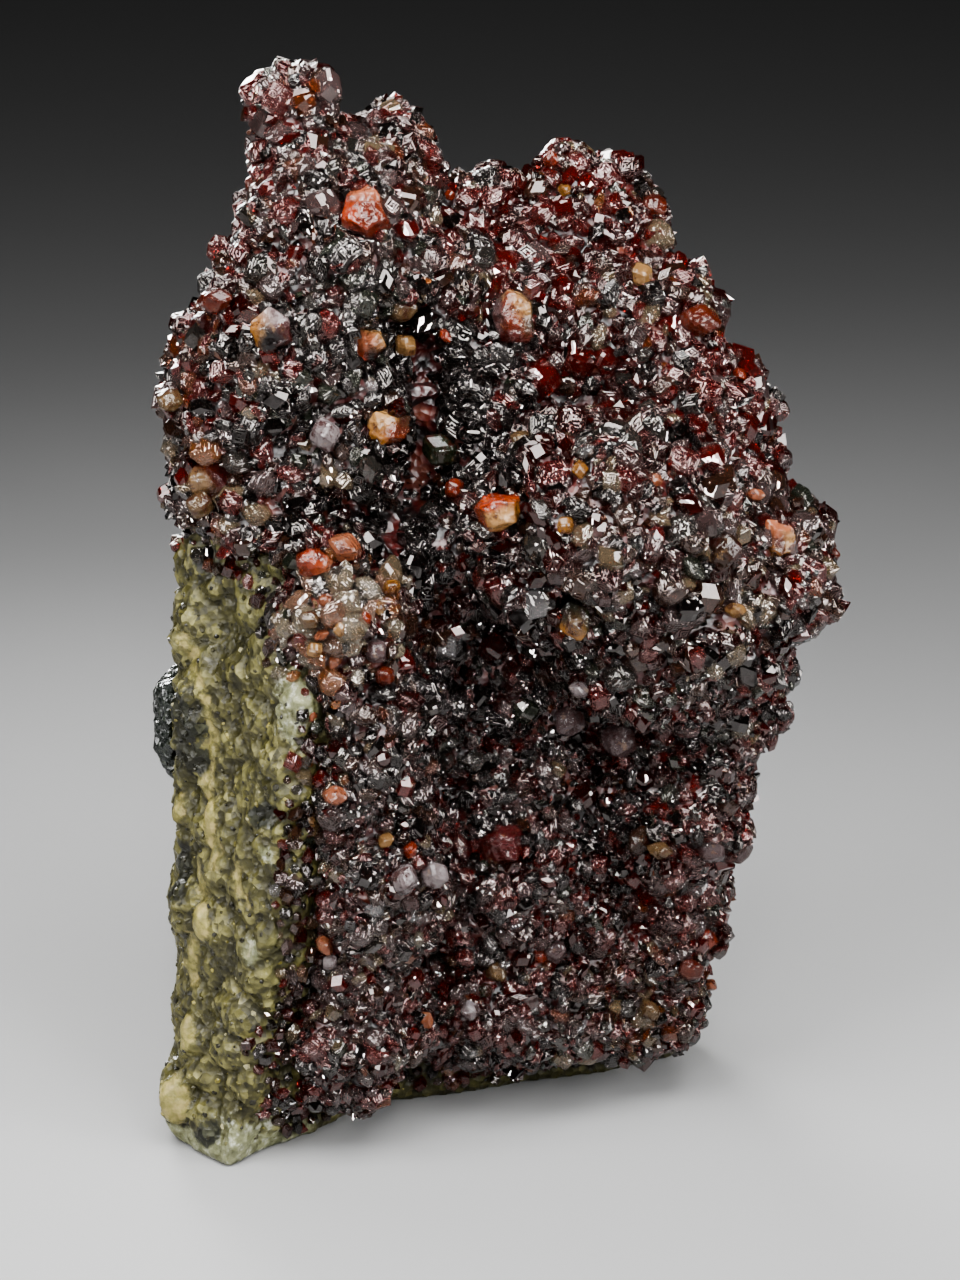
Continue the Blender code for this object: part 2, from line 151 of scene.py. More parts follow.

# Crystals that stand out in colour: a point near the crust's skin, width and colour.
# The pale, mauve and some of the cream ones are partly painted highlights, set where glints fall
STANDOUT_CRYSTALS = (
    ((-13.6, -6.9, 86.7), 1.6, "rust"), ((-16.6, -17.0, 78.7), 2.4, "rust"), ((-17.8, -13.3, 75.7), 2.4, "wine"),
    ((3.0, -12.6, 74.6), 1.3, "orange"), ((-0.9, -13.2, 77.2), 2.4, "tan"), ((-0.5, -12.0, 73.6), 2.2, "cream"),
    ((-7.3, -18.6, 67.3), 2.4, "pale"), ((2.5, -12.9, 64.4), 2.8, "green"), ((9.9, -15.2, 65.9), 2.2, "tan"),
    ((3.8, -14.2, 61.3), 1.7, "orange"), ((14.5, -22.7, 65.3), 1.6, "amber"), ((20.9, -22.7, 64.4), 1.2, "peach"),
    ((30.0, -15.2, 61.0), 1.5, "peach"), ((28.1, -20.4, 52.1), 1.9, "cream"), ((26.6, -22.2, 58.1), 2.8, "brown"),
    ((37.5, -7.7, 53.3), 1.5, "rust"), ((13.2, -25.8, 61.3), 1.4, "amber"), ((20.2, -4.0, 78.1), 2.2, "cream"),
    ((25.4, -6.8, 74.6), 2.8, "rust"), ((29.2, -4.7, 69.2), 1.5, "orange"), ((21.7, 2.0, 83.2), 2.0, "rust"),
    ((3.3, -0.5, 84.6), 1.3, "orange"), ((13.6, 0.0, 84.9), 1.4, "amber"), ((12.3, 1.5, 87.4), 1.4, "orange"),
    ((-5.6, -21.0, 57.9), 2.4, "peach"), ((-3.0, -24.1, 49.6), 2.4, "mauve"), ((-2.2, -24.0, 47.3), 1.8, "rust"),
    ((-6.5, -26.7, 37.3), 1.8, "peach"), ((-8.9, -23.0, 32.7), 1.7, "tan"), ((-2.3, -23.4, 31.9), 1.5, "cream"),
    ((-0.1, -23.5, 31.0), 1.4, "orange"), ((-0.6, -25.0, 28.8), 2.3, "pale"), ((2.0, -22.2, 28.1), 2.1, "pale"),
    ((-7.7, -23.3, 21.9), 1.9, "peach"), ((-7.3, -23.4, 20.3), 1.4, "pale"), ((11.5, -14.3, 17.1), 1.2, "orange"),
    ((12.8, -14.2, 17.6), 1.9, "mauve"), ((7.4, -14.2, 15.6), 2.0, "tan"), ((6.5, -15.6, 14.2), 1.6, "green"),
    ((26.8, -10.8, 17.2), 1.8, "orange"), ((27.7, -5.9, 10.5), 1.6, "peach"), ((25.3, -13.3, 15.2), 2.0, "rust"),
    ((21.7, -12.1, 10.7), 2.0, "tan"), ((22.1, -17.4, 28.6), 1.8, "tan"), ((20.4, -16.0, 29.0), 2.6, "brown"),
    ((26.7, -16.3, 28.2), 2.4, "mauve"), ((5.1, -16.5, 12.6), 1.4, "pale"), ((1.0, -17.3, 12.0), 1.5, "peach"),
    ((14.1, -12.6, 39.3), 2.8, "mauve"), ((18.6, -12.6, 37.4), 2.8, "mauve"), ((14.7, -20.1, 44.7), 1.6, "pale"),
    ((-7.2, -24.7, 54.3), 1.4, "peach"), ((-8.5, -26.1, 53.0), 1.5, "tan"), ((-5.9, -26.7, 52.3), 1.3, "cream"),
    ((-3.8, -25.0, 52.7), 1.3, "orange"), ((-6.4, -24.9, 49.0), 1.4, "peach"), ((-8.1, -26.3, 50.4), 1.6, "cream"),
    ((-1.6, -22.0, 54.6), 1.4, "amber"), ((-7.5, -26.0, 51.6), 1.2, "peach"), ((-2.6, -23.4, 53.2), 1.2, "cream"),
    ((-8.9, -23.5, 33.8), 1.2, "cream"), ((-9.0, -23.8, 39.5), 1.1, "amber"), ((-8.5, -24.1, 43.7), 1.2, "peach"),
    ((2.9, -14.6, 36.2), 2.6, "smoke"), ((-20.8, -15.6, 69.6), 2.0, "tan"), ((-18.3, -17.1, 60.6), 2.0, "tan"),
)

# The single crystals: the share of the solid's size that is kept, and the colour seen from each way.
# These colours are partly the crystals' own zoning and partly painted light: on several the upward colours
# are lighter and the lower and far ones darker, as painted top light and shade, and the cheek's pale top
# and the crown's lower left are painted glints
COLLAR_FACING = (0.0, -0.95, 0.31)
SINGLE_COLOURS = {
    "orange": (0.230, 0.030, 0.009), "rust": (0.120, 0.020, 0.008), "cream": (0.330, 0.180, 0.070),
    "peach": (0.300, 0.100, 0.050), "amber": (0.240, 0.105, 0.026), "wine": (0.045, 0.006, 0.005),
    "ruby": (0.062, 0.010, 0.010), "tan": (0.150, 0.090, 0.042), "brown": (0.040, 0.018, 0.010),
    "mauve": (0.120, 0.080, 0.080), "pale": (0.240, 0.200, 0.200), "smoke": (0.030, 0.028, 0.024),
    "green": (0.022, 0.026, 0.013), "black": (0.006, 0.005, 0.005), "deep": (0.020, 0.003, 0.002),
}
SINGLE_CRYSTALS = {
    "orange_crystal_crown": ((0.78, 0.86, 0.88), (((0.0, -1.0, 0.4), "rust"), ((0.55, -0.1, 0.95), "peach"),
                             ((0.5, -0.7, -0.5), "rust"), ((-0.9, -0.4, 0.0), "orange"), ((-0.8, -0.3, -0.7), "mauve"))),
    "orange_crystal_cheek": ((0.82, 0.90, 0.82), (((0.1, -0.35, 0.95), "pale"), ((-0.9, -0.5, 0.2), "amber"),
                             ((0.8, -0.5, -0.3), "wine"), ((0.0, -1.0, -0.1), "black"))),
    "orange_crystal_brow": ((0.85, 0.90, 0.70), (((-0.2, -0.9, 0.3), "peach"), ((0.3, -0.3, 0.9), "cream"),
                            ((-0.6, -0.6, -0.4), "orange"), ((0.95, -0.3, -0.2), "black"))),
    "orange_crystal_slope": ((0.72, 0.85, 1.02), (((0.35, -0.6, 0.7), "cream"), ((0.0, -1.0, 0.2), "rust"),
                             ((0.1, -0.8, -0.6), "wine"), ((-0.8, -0.4, 0.4), "mauve"), ((0.95, -0.2, 0.2), "smoke"))),
    "orange_crystal_cleft": ((0.86, 0.90, 0.74), (((-0.5, -0.6, 0.6), "cream"), ((0.3, -0.9, -0.3), "rust"),
                             ((0.9, -0.4, 0.0), "brown"), ((-0.6, -0.7, -0.2), "amber"))),
    "orange_crystal_jaw": ((0.90, 0.90, 0.85), (((0.6, -0.7, 0.5), "ruby"), ((-0.6, -0.8, 0.2), "tan"),
                           ((0.0, -0.8, -0.7), "brown"), ((-0.2, -0.4, 0.9), "rust"))),
    "orange_crystal_ledge": ((1.00, 0.90, 0.62), (((0.0, -1.0, 0.4), "orange"), ((0.4, -0.4, 0.9), "rust"),
                             ((-0.6, -0.6, -0.4), "rust"), ((0.8, -0.6, 0.1), "peach"))),
    "orange_crystal_fold": ((0.70, 0.70, 0.54), (((0.0, -0.5, 0.9), "orange"), ((0.1, -1.0, -0.1), "cream"),
                            ((-0.9, -0.4, -0.2), "rust"), ((0.6, -0.8, -0.2), "amber"))),
    "orange_crystal_tip": ((0.76, 0.80, 1.00), (((0.1, -0.4, 0.9), "peach"), ((-0.1, -1.0, 0.2), "wine"),
                           ((0.9, -0.4, 0.2), "cream"), ((-0.5, -0.6, -0.6), "amber"))),
    "orange_crystal_bulge": ((0.78, 0.85, 1.05), (((-0.4, -0.8, -0.4), "amber"), ((0.6, -0.6, 0.5), "green"),
                             ((0.2, -1.0, 0.2), "tan"), ((-0.3, -0.4, 0.9), "smoke"))),
    "red_crystal_recess": ((0.84, 0.90, 0.76), (((0.0, -1.0, 0.2), "ruby"), ((-0.6, -0.6, 0.4), "wine"),
                           ((0.6, -0.7, 0.5), "ruby"), ((0.2, -0.8, -0.7), "wine"))),
}
# How much wider at the top than halfway up
TAPERS = {"orange_crystal_fold": 0.5, "orange_crystal_crown": -0.4, "orange_crystal_bulge": 0.3}

# The matrix: the fineness of its skin, its relief, and the features painted on it
MATRIX_VOXEL = 0.46
MATRIX_BASE_KEPT = 0.4
PALE_BAND = (
    (-20.0, -12.8, 46.9), (-18.6, -15.6, 43.2), (-18.1, -16.0, 41.4), (-18.4, -15.6, 37.2), (-18.2, -16.0, 35.4),
    (-18.0, -16.6, 31.4), (-17.4, -18.4, 28.0),
)
PALE_STREAKS = (
    ((-20.7, -13.9, 32.8), (-20.9, -13.8, 30.5)), ((-19.3, -16.8, 27.0), (-18.8, -17.6, 24.0)),
    ((-15.6, -20.6, 28.0), (-14.8, -21.2, 25.6)), ((-20.2, -16.6, 19.5), (-20.3, -17.0, 15.5)),
    ((-14.0, -22.0, 21.0), (-14.6, -21.6, 18.0)), ((-11.2, -23.2, 14.0), (-12.6, -22.6, 9.0)),
)
PALE_BAND_HALF_WIDTH = 0.85
# Smooth knobs that stand out of the rock: centre, half width, half height and how far they stand out
KNOBS = (
    ((-21.6, -18.4, 4.7), 1.7, 2.6, 1.2), ((-20.2, -17.9, 11.0), 1.1, 2.1, 1.0), ((-18.6, -18.1, 22.1), 1.6, 1.9, 1.2),
    ((-17.9, -17.0, 31.5), 1.0, 2.0, 0.7),
)
# Rounded lumps of the rock itself, as the knobs
NODULES = (
    ((-20.3, -12.8, 47.7), 2.4, 2.2, 0.8), ((-11.5, -23.2, 37.5), 3.2, 2.8, 0.6), ((-21.2, -13.2, 31.5), 2.2, 2.0, 0.8),
    ((-9.9, -24.0, 45.0), 2.6, 3.4, 0.5), ((-14.5, -21.8, 32.0), 2.6, 2.4, 0.5), ((-15.0, -19.0, 44.5), 2.2, 2.6, 0.5),
    ((-20.0, -13.9, 38.6), 2.0, 4.8, 1.1), ((-16.0, -20.5, 14.0), 2.8, 2.4, 0.4),
)
GLASSY_PATCHES = (
    ((-9.9, -23.9, 45.6), 2.6), ((-10.5, -23.6, 42.6), 1.8), ((-15.4, -22.4, 1.6), 3.0), ((-12.8, -22.0, 1.6), 2.6),
    ((-18.0, -20.8, 0.4), 2.6), ((-14.4, -23.0, 21.3), 1.2), ((-12.2, -22.6, 30.0), 1.0),
    ((12.0, 17.5, 22.0), 4.0), ((-10.0, 15.0, 50.0), 4.0), ((22.0, 12.0, 42.0), 3.5), ((-21.0, 4.0, 44.0), 3.0),
    ((26.0, 4.0, 16.0), 3.0), ((0.0, 17.5, 8.0), 3.0),
)
DARK_PATCHES = (
    ((-18.4, -14.0, 54.5), 1.6), ((-21.3, -13.6, 26.5), 1.9), ((-20.8, -14.6, 24.0), 1.6),
    ((-20.1, -13.9, 41.0), 1.9), ((-19.9, -14.1, 38.6), 2.1), ((-19.5, -14.6, 36.4), 1.9), ((-13.0, -22.0, 33.5), 1.4),
    ((-19.0, -20.2, 2.2), 1.3), ((2.0, 17.5, 38.0), 5.0), ((-17.0, 9.0, 27.0), 4.0), ((16.0, 16.0, 58.0), 4.5),
    ((-21.0, -3.0, 20.0), 3.5), ((24.0, 9.0, 28.0), 3.5),
)
GRAIN_SPACING = 1.05
GRAIN_ACROSS = (0.3, 0.8)
GRAINS_AT_BACK = 0.35
GRAIN_COLOURS = (
    ((0.008, 0.007, 0.003), 0.40), ((0.036, 0.032, 0.009), 0.28), ((0.100, 0.088, 0.022), 0.20),
    ((0.230, 0.200, 0.060), 0.09), ((0.360, 0.330, 0.190), 0.03),
)
# Stray crystals on the rock near the crust: how far out they reach, below and above these heights
STRAYS_REACH = ((32.0, 3.4), (46.0, 1.2), (60.0, 2.6))
LUMP_VOXEL = 0.24


class Socket:
    """An output of a shader node, with Python's operators for the tree's maths."""

    def __init__(self, tree, out):
        self.tree = tree
        self.out = out

    def node(self, kind, settings=None, **inputs):
        """Adds a node of that kind: its settings first, then its sockets' values or links."""
        made = self.tree.nodes.new(kind)
        for name, value in (settings or {}).items():
            if name == "stops":
                set_stops(made.color_ramp, value)
            else:
                setattr(made, name, value)
        for name, value in inputs.items():
            slot = made.inputs[int(name[1:])] if name[0] == "_" else made.inputs[name.replace("_", " ")]
            if isinstance(value, Socket):
                self.tree.links.new(value.out, slot)
            else:
                slot.default_value = value
        return Socket(self.tree, next(out for out in made.outputs if out.enabled))

    def math(self, operation, other=0.0):
        return self.node("ShaderNodeMath", {"operation": operation}, _0=self, _1=other)

    def __add__(self, other):
        return self.math("ADD", other)

    __radd__ = __add__

    def __mul__(self, other):
        return self.math("MULTIPLY", other)

    __rmul__ = __mul__

    def __sub__(self, other):
        return self.math("SUBTRACT", other)

    def __rsub__(self, other):
        return self * -1.0 + other

    def part(self, name):
        """Another output of the node that this socket belongs to."""
        return Socket(self.tree, self.out.node.outputs[name])

    def ramp(self, low, high):
        """0 up to low, 1 from high, and a straight slope between."""
        return self.node("ShaderNodeMapRange", {"clamp": True}, Value=self, From_Min=low, From_Max=high)

    def colours(self, *stops):
        return self.node("ShaderNodeValToRGB", {"stops": stops}, _0=self)

    def mix(self, first, second):
        """The first colour where this value is 0, and the second where it is 1."""
        return self.node("ShaderNodeMix", {"data_type": "RGBA"}, _0=self, _6=first, _7=second)

    def noise(self, size, detail=2.0, roughness=0.5):
        """Noise over these coordinates, with features of that size in millimetres."""
        scale = 1.0 / (size * MM)
        return self.node("ShaderNodeTexNoise", None, _0=self, Scale=scale, Detail=detail, Roughness=roughness)

    def cells(self, size, metric="EUCLIDEAN", feature="F1"):
        """Distance to the nearest of points scattered that far apart."""
        settings = {"distance": metric, "feature": feature}
        return self.node("ShaderNodeTexVoronoi", settings, _0=self, Scale=1.0 / (size * MM))


def set_stops(ramp, stops):
    while len(ramp.elements) < len(stops):
        ramp.elements.new(0.5)
    for element, (position, colour) in zip(ramp.elements, stops):
        element.position = position
        element.color = colour


def rgb(red, green, blue):
    return (red, green, blue, 1.0)


def new_material(name, **values):
    """A Principled material with those plain values; returns it, its shader and its coordinates."""
    material = bpy.data.materials.new(name)
    material.use_nodes = True
    tree = material.node_tree
    shader = tree.nodes["Principled BSDF"]
    for key, value in values.items():
        shader.inputs[key.replace("_", " ")].default_value = value
    coordinates = tree.nodes.new("ShaderNodeTexCoord")
    return material, shader, Socket(tree, coordinates.outputs["Object"])


def feed(shader, **links):
    for name, socket in links.items():
        socket.tree.links.new(socket.out, shader.inputs[name.replace("_", " ")])


def bump(height, depth, below=None):
    """A normal bent by a height of 0 to 1 that is that many millimetres deep."""
    extra = {"Normal": below} if below else {}
    return height.node("ShaderNodeBump", None, Strength=1.0, Distance=depth * MM, Height=height, **extra)


def deselect_all():
    for item in list(bpy.context.selected_objects):
        item.select_set(False)


def make_active(item):
    deselect_all()
    item.select_set(True)
    bpy.context.view_layer.objects.active = item


def apply_modifiers(item):
    make_active(item)
    for modifier in list(item.modifiers):
        bpy.ops.object.modifier_apply(modifier=modifier.name)


def link(name, mesh):
    item = bpy.data.objects.new(name, mesh)
    bpy.context.scene.collection.objects.link(item)
    return item


def copy_of_node(node, name):
    """A merged copy of a CAD node's mesh, as a new object."""
    copy = link(name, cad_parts[node].data.copy())
    copy.data.materials.clear()
    shape = bmesh.new()
    shape.from_mesh(copy.data)
    bmesh.ops.remove_doubles(shape, verts=shape.verts, dist=1e-7)
    shape.to_mesh(copy.data)
    shape.free()
    return copy


def add_skin(item, voxel, smoothing):
    skin = item.modifiers.new("Skin", "REMESH")
    skin.mode = "VOXEL"
    skin.voxel_size = voxel * MM
    skin.use_smooth_shade = True
    settle = item.modifiers.new("Settle", "SMOOTH")
    settle.iterations = smoothing


def add_relief(item, kind, size, depth, middle=0.5, **settings):
    """Pushes the surface in and out by a procedural pattern of that size and depth in millimetres."""
    pattern = bpy.data.textures.new(f"{item.name}_{kind.lower()}_{size}", kind)
    pattern.noise_scale = size * MM
    for key, value in settings.items():
        setattr(pattern, key, value)
    relief = item.modifiers.new("Relief", "DISPLACE")
    relief.texture = pattern
    relief.texture_coords = "LOCAL"
    relief.mid_level = middle
    relief.strength = depth * MM


def points_of(item):
    points = np.empty(len(item.data.vertices) * 3, np.float32)
    item.data.vertices.foreach_get("co", points)
    return points.reshape(-1, 3).astype(float)


def normals_of(item):
    normals = np.empty(len(item.data.vertices) * 3, np.float32)
    item.data.vertices.foreach_get("normal", normals)
    return normals.reshape(-1, 3).astype(float)


def set_points(item, points):
    item.data.vertices.foreach_set("co", points.astype(np.float32).ravel())
    item.data.update()


def paint(item, name, colours):
    """Keeps a colour for each vertex, for the materials to read."""
    layer = item.data.attributes.new(name, "FLOAT_COLOR", "POINT")
    layer.data.foreach_set("color", colours.astype(np.float32).ravel())


def tree_of(item):
    shape = bmesh.new()
    shape.from_mesh(item.data)
    tree = BVHTree.FromBMesh(shape)
    shape.free()
    return tree


def scattered(item, spacing, chance, open_points):
    """Points spread evenly over the open part of a mesh, at least that far apart, with their normals.

    open_points says for each of the mesh's points if it is open."""
    mesh = item.data
    mesh.calc_loop_triangles()
    corners = np.empty(len(mesh.loop_triangles) * 3, np.int32)
    mesh.loop_triangles.foreach_get("vertices", corners)
    corners = corners.reshape(-1, 3)
    corners = corners[open_points[corners].all(axis=1)]
    places = points_of(item)[corners]
    crosses = np.cross(places[:, 1] - places[:, 0], places[:, 2] - places[:, 0])
    areas = np.linalg.norm(crosses, axis=1) / 2.0
    tries = int(areas.sum() / spacing**2 * TRIES)
    picked = chance.choice(len(areas), tries, p=areas / areas.sum())
    along = np.sqrt(chance.random((tries, 1)))
    across = chance.random((tries, 1))
    a, b, c = (places[picked, k] for k in range(3))
    points = a * (1 - along) + b * along * (1 - across) + c * along * across
    normals = normals_of(item)[corners[picked]].mean(axis=1)
    normals /= np.linalg.norm(normals, axis=1, keepdims=True)
    kept = spaced(points, spacing)
    return points[kept], normals[kept]


def distances_to(tree, points):
    """How far each point is from a mesh, in millimetres."""
    return np.array([tree.find_nearest(Vector(point))[3] for point in points]) / MM


def spaced(points, spacing):
    """Indices of points that are at least that far from the ones before them."""
    cells = np.floor(points / spacing).astype(int)
    steps = [(x, y, z) for x in (-1, 0, 1) for y in (-1, 0, 1) for z in (-1, 0, 1)]
    filled = {}
    kept = []
    for index, (cell, point) in enumerate(zip(cells.tolist(), points.tolist())):
        x, y, z = cell
        px, py, pz = point
        near = (other for dx, dy, dz in steps for other in filled.get((x + dx, y + dy, z + dz), ()))
        if all((px - o[0]) ** 2 + (py - o[1]) ** 2 + (pz - o[2]) ** 2 > spacing**2 for o in near):
            filled.setdefault((x, y, z), []).append(point)
            kept.append(index)
    return kept


def taken_pattern(item):
    """The points, faces and facet coordinates of a finished pattern, which is then deleted."""
    points = points_of(item)
    faces = [list(face.vertices) for face in item.data.polygons]
    facets = []
    for face in faces:
        whole = len(face) == 4
        facets += [(-1, -1), (1, -1), (1, 1), (-1, 1)] if whole else [(0, 0)] * len(face)
    bpy.data.objects.remove(item)
    return points, faces, np.array(facets, float)


def crystal_patterns():
    """Garnet's usual crystals, one unit across, each modelled once from a cube, the splinter from a four-sided cone."""
    half = 0.5 / math.sqrt(2.0)
    made = {}
    for name in ("dodecahedron", "stepped", "trapezohedron", "splinter"):
        deselect_all()
        if name == "splinter":
            bpy.ops.mesh.primitive_cone_add(vertices=4, radius1=0.5, radius2=0.22, depth=0.7)
        else:
            bpy.ops.mesh.primitive_cube_add(size=2.0 * half)
        pattern = bpy.context.object
        bpy.ops.object.mode_set(mode="EDIT")
        bpy.ops.mesh.select_all(action="SELECT")
        if name == "trapezohedron":
            bpy.ops.mesh.subdivide(number_cuts=1)
        elif name != "splinter":
            bpy.ops.mesh.poke(offset=half)
            bpy.ops.mesh.select_all(action="SELECT")
            bpy.ops.mesh.dissolve_limited(angle_limit=math.radians(1.0))
        if name == "stepped":
            bpy.ops.mesh.select_all(action="SELECT")
            bpy.ops.mesh.bevel(offset=0.09, segments=1, affect="EDGES")
        bpy.ops.object.mode_set(mode="OBJECT")
        if name == "trapezohedron":
            set_points(pattern, kite_corners(points_of(pattern)))
        made[name] = taken_pattern(pattern)
    return made


def kite_corners(points):
    """Moves a once divided cube's points out or in until each of its 24 faces is a flat kite."""
    ways = np.abs(points) > 1e-6
    reach = np.select([ways.sum(axis=1) == 1, ways.sum(axis=1) == 2], [1 / 2, 1 / 3], 1 / 4)
    return np.sign(points) * ways * reach[:, None]


def random_turns(count, chance):
    """That many random rotation matrices."""
    quaternions = chance.normal(size=(count, 4))
    w, x, y, z = (quaternions / np.linalg.norm(quaternions, axis=1, keepdims=True)).T
    rows = [
        [1 - 2 * (y * y + z * z), 2 * (x * y - z * w), 2 * (x * z + y * w)],
        [2 * (x * y + z * w), 1 - 2 * (x * x + z * z), 2 * (y * z - x * w)],
        [2 * (x * z - y * w), 2 * (y * z + x * w), 1 - 2 * (x * x + y * y)],
    ]
    return np.moveaxis(np.array(rows), 2, 0)


def joined_copies(name, pattern, centres, widths, tints, chance, stretch=(0.62, 1.18)):
    """One mesh of a pattern's copies, one at each centre, each with its own width, turn and colour."""
    points, faces, facets = pattern
    count = len(centres)
    sizes = widths[:, None] * chance.uniform(*stretch, (count, 3))
    placed = np.einsum("nij,nvj->nvi", random_turns(count, chance), points[None] * sizes[:, None, :])
    placed += centres[:, None, :]
    corners = np.concatenate(faces)
    shifts = np.arange(count)[:, None] * len(points)
    lengths = np.tile([len(face) for face in faces], count)
    mesh = bpy.data.meshes.new(name)
    mesh.vertices.add(count * len(points))
    mesh.vertices.foreach_set("co", placed.astype(np.float32).ravel())
    mesh.loops.add(count * len(corners))
    mesh.loops.foreach_set("vertex_index", (corners[None] + shifts).astype(np.int32).ravel())
    mesh.polygons.add(count * len(faces))
    starts = np.cumsum(lengths) - lengths
    mesh.polygons.foreach_set("loop_start", starts.astype(np.int32))
    mesh.update(calc_edges=True)
    mesh.shade_flat()
    mesh.uv_layers.new(name="facet").data.foreach_set("uv", np.tile(facets.astype(np.float32), (count, 1)).ravel())
    piece = link(name, mesh)
    paint(piece, "tint", np.repeat(tints, len(points), axis=0))
    return piece


def garnet_tints(points, chance):
    """A body colour for each crystal, from the colours usual at its place, with painted shade along the clefts and a
    painted sheen in the mauve ones; the fourth value is its haze.
    """
    names = list(GARNET_COLOURS)
    weights = np.tile([CRUST_COLOURS.get(name, 0.0) for name in names], (len(points), 1))
    for centre, reach, extra in COLOUR_ZONES:
        away = np.linalg.norm(points / MM - centre, axis=1) / reach
        nearness = np.exp(-(away**2))[:, None]
        weights += nearness * [extra.get(name, 0.0) for name in names]
    totals = np.cumsum(weights, axis=1)
    picked = (totals < chance.random((len(points), 1)) * totals[:, -1:]).sum(axis=1)
    colours = np.array(list(GARNET_COLOURS.values()))[picked]
    shades = chance.uniform(0.75, 1.08, (len(points), 1))
    return np.hstack([colours * shades, chance.random((len(points), 1)) ** 2])


def carve_clefts(bed):
    points = points_of(bed)
    normals = normals_of(bed)
    for line, half_width, depth, _ in CLEFTS:
        nearness = 0.5 ** ((distance_to_cleft(points, line) / half_width) ** 2)
        points -= normals * (nearness * depth * MM)[:, None]
    set_points(bed, points)


def distance_to_cleft(points, line):
    return distance_to_line(points / MM * CLEFT_SQUASH, np.array(line) * CLEFT_SQUASH)


def garnet_finish():
    """Dark glassy garnet: growth steps on each facet break the light into lines."""
    material, shader, place = new_material("garnet_glass", IOR=1.78, Transmission_Weight=0.92, Specular_Tint=rgb(1.0, 0.93, 0.90))
    tint = place.node("ShaderNodeAttribute", {"attribute_name": "tint"})
    facet = place.node("ShaderNodeUVMap", {"uv_map": "facet"})
    sides = facet.node("ShaderNodeVectorMath", {"operation": "ABSOLUTE"}, _0=facet)
    split = sides.node("ShaderNodeSeparateXYZ", None, _0=sides)
    out_from_middle = split.math("MAXIMUM", split.part("Y"))
    wander = place.noise(1.1, 1.0)
    rings = (out_from_middle * 2.0 + wander * 2.4).math("PINGPONG", 0.5)
    stepped = tint.part("Alpha").ramp(0.04, 0.06)
    swell = place.noise(1.6, 1.0)
    normal = bump(swell, 0.12, bump(rings * 2.0 * stepped, 0.036))
    roughness = tint.part("Alpha") * 0.16 + 0.03
    feed(shader, Base_Color=tint, Roughness=roughness, Normal=normal)
    return material


def scattered_crystals(bed, spacing, chance, open_points):
    """Points for one size of crystal, closer together low on the crust, and how fine each one is."""
    low, high = FINE_BELOW
    groups = []
    for fineness in (1.0, FINENESS):
        points, normals = scattered(bed, spacing * fineness, chance, open_points)
        height = (points[:, 2] / MM - low) / (high - low)
        coarse = height > chance.random(len(points))
        kept = coarse if fineness == 1.0 else ~coarse
        groups.append((points[kept], normals[kept], np.full(kept.sum(), fineness)))
    return [np.concatenate(parts) for parts in zip(*groups)]


def make_crust():
    chance = np.random.default_rng(SEED)
    bed = copy_of_node("garnet_crust", "garnet_bed")
    add_skin(bed, BED_VOXEL, BED_SMOOTHING)
    add_relief(bed, "CLOUDS", 3.6, 1.6, 0.5, noise_depth=1)
    apply_modifiers(bed)
    carve_clefts(bed)
    matrix_tree = tree_of(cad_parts["matrix"])
    points = points_of(bed)
    open_points = (distances_to(matrix_tree, points) > CRYSTALS_OFF_MATRIX) & (points[:, 2] > CRYSTALS_LOWEST * MM)
    finish = garnet_finish()
    patterns = crystal_patterns()
    pieces = [bed]
    standing, standing_widths, _ = (np.array(part) for part in zip(*STANDOUT_CRYSTALS))
    standing, standing_widths = standing * MM, standing_widths * MM
    for name, (spacing, across, sink, jitter, pattern) in CRYSTAL_SIZES.items():
        points, normals, fineness = scattered_crystals(bed, spacing * MM, chance, open_points)
        widths = chance.uniform(*across, len(points)) * fineness * MM
        depths = BED_INSET * MM * 0.6 + sink * widths + chance.uniform(-jitter, jitter, len(points)) * MM
        centres = points - normals * depths[:, None]
        away = np.linalg.norm(centres[:, None] - standing[None], axis=2)
        clear = (away > 0.42 * standing_widths + 0.30 * widths[:, None]).all(axis=1)
        for line, _, _, bare in CLEFTS:
            if bare > 0.0:
                clear &= distance_to_cleft(centres, line) > bare + 0.35 * widths / MM
        centres, widths = centres[clear], widths[clear]
        tints = garnet_tints(centres, chance)
        pieces.append(joined_copies(name, patterns[pattern], centres, widths, tints, chance, CRYSTAL_STRETCH[pattern]))
    tints = np.array([SINGLE_COLOURS[colour] + (1.0,) for _, _, colour in STANDOUT_CRYSTALS]) * 0.6
    standouts = joined_copies("standout_crystals", patterns["stepped"], standing, standing_widths, tints, chance)
    finish_piece(standouts, single_finish(), "garnet_crust")
    pieces.append(make_collars(patterns["dodecahedron"], chance))
    points = points_of(bed) - normals_of(bed) * BED_INSET * MM
    set_points(bed, points)
    bed.data.uv_layers.new(name="facet")
    for piece in pieces[1:]:
        finish_piece(piece, finish, "garnet_crust")
    finish_piece(bed, bed_painted_shade(), "garnet_crust")


def bed_painted_shade():
    """Painted shade between the crystals, near black, with patches of painted wine-red glow as of light getting
    through.
    """
    material, shader, place = new_material("garnet_bed_finish", IOR=1.78, Roughness=0.35)
    cloud = place.noise(2.2, 3.0)
    colour = cloud.colours((0.40, rgb(0.004, 0.001, 0.001)), (0.56, rgb(0.060, 0.005, 0.004)), (0.70, rgb(0.12, 0.03, 0.015)))
    feed(shader, Base_Color=colour, Normal=bump(place.cells(0.8), 0.3))
    return material


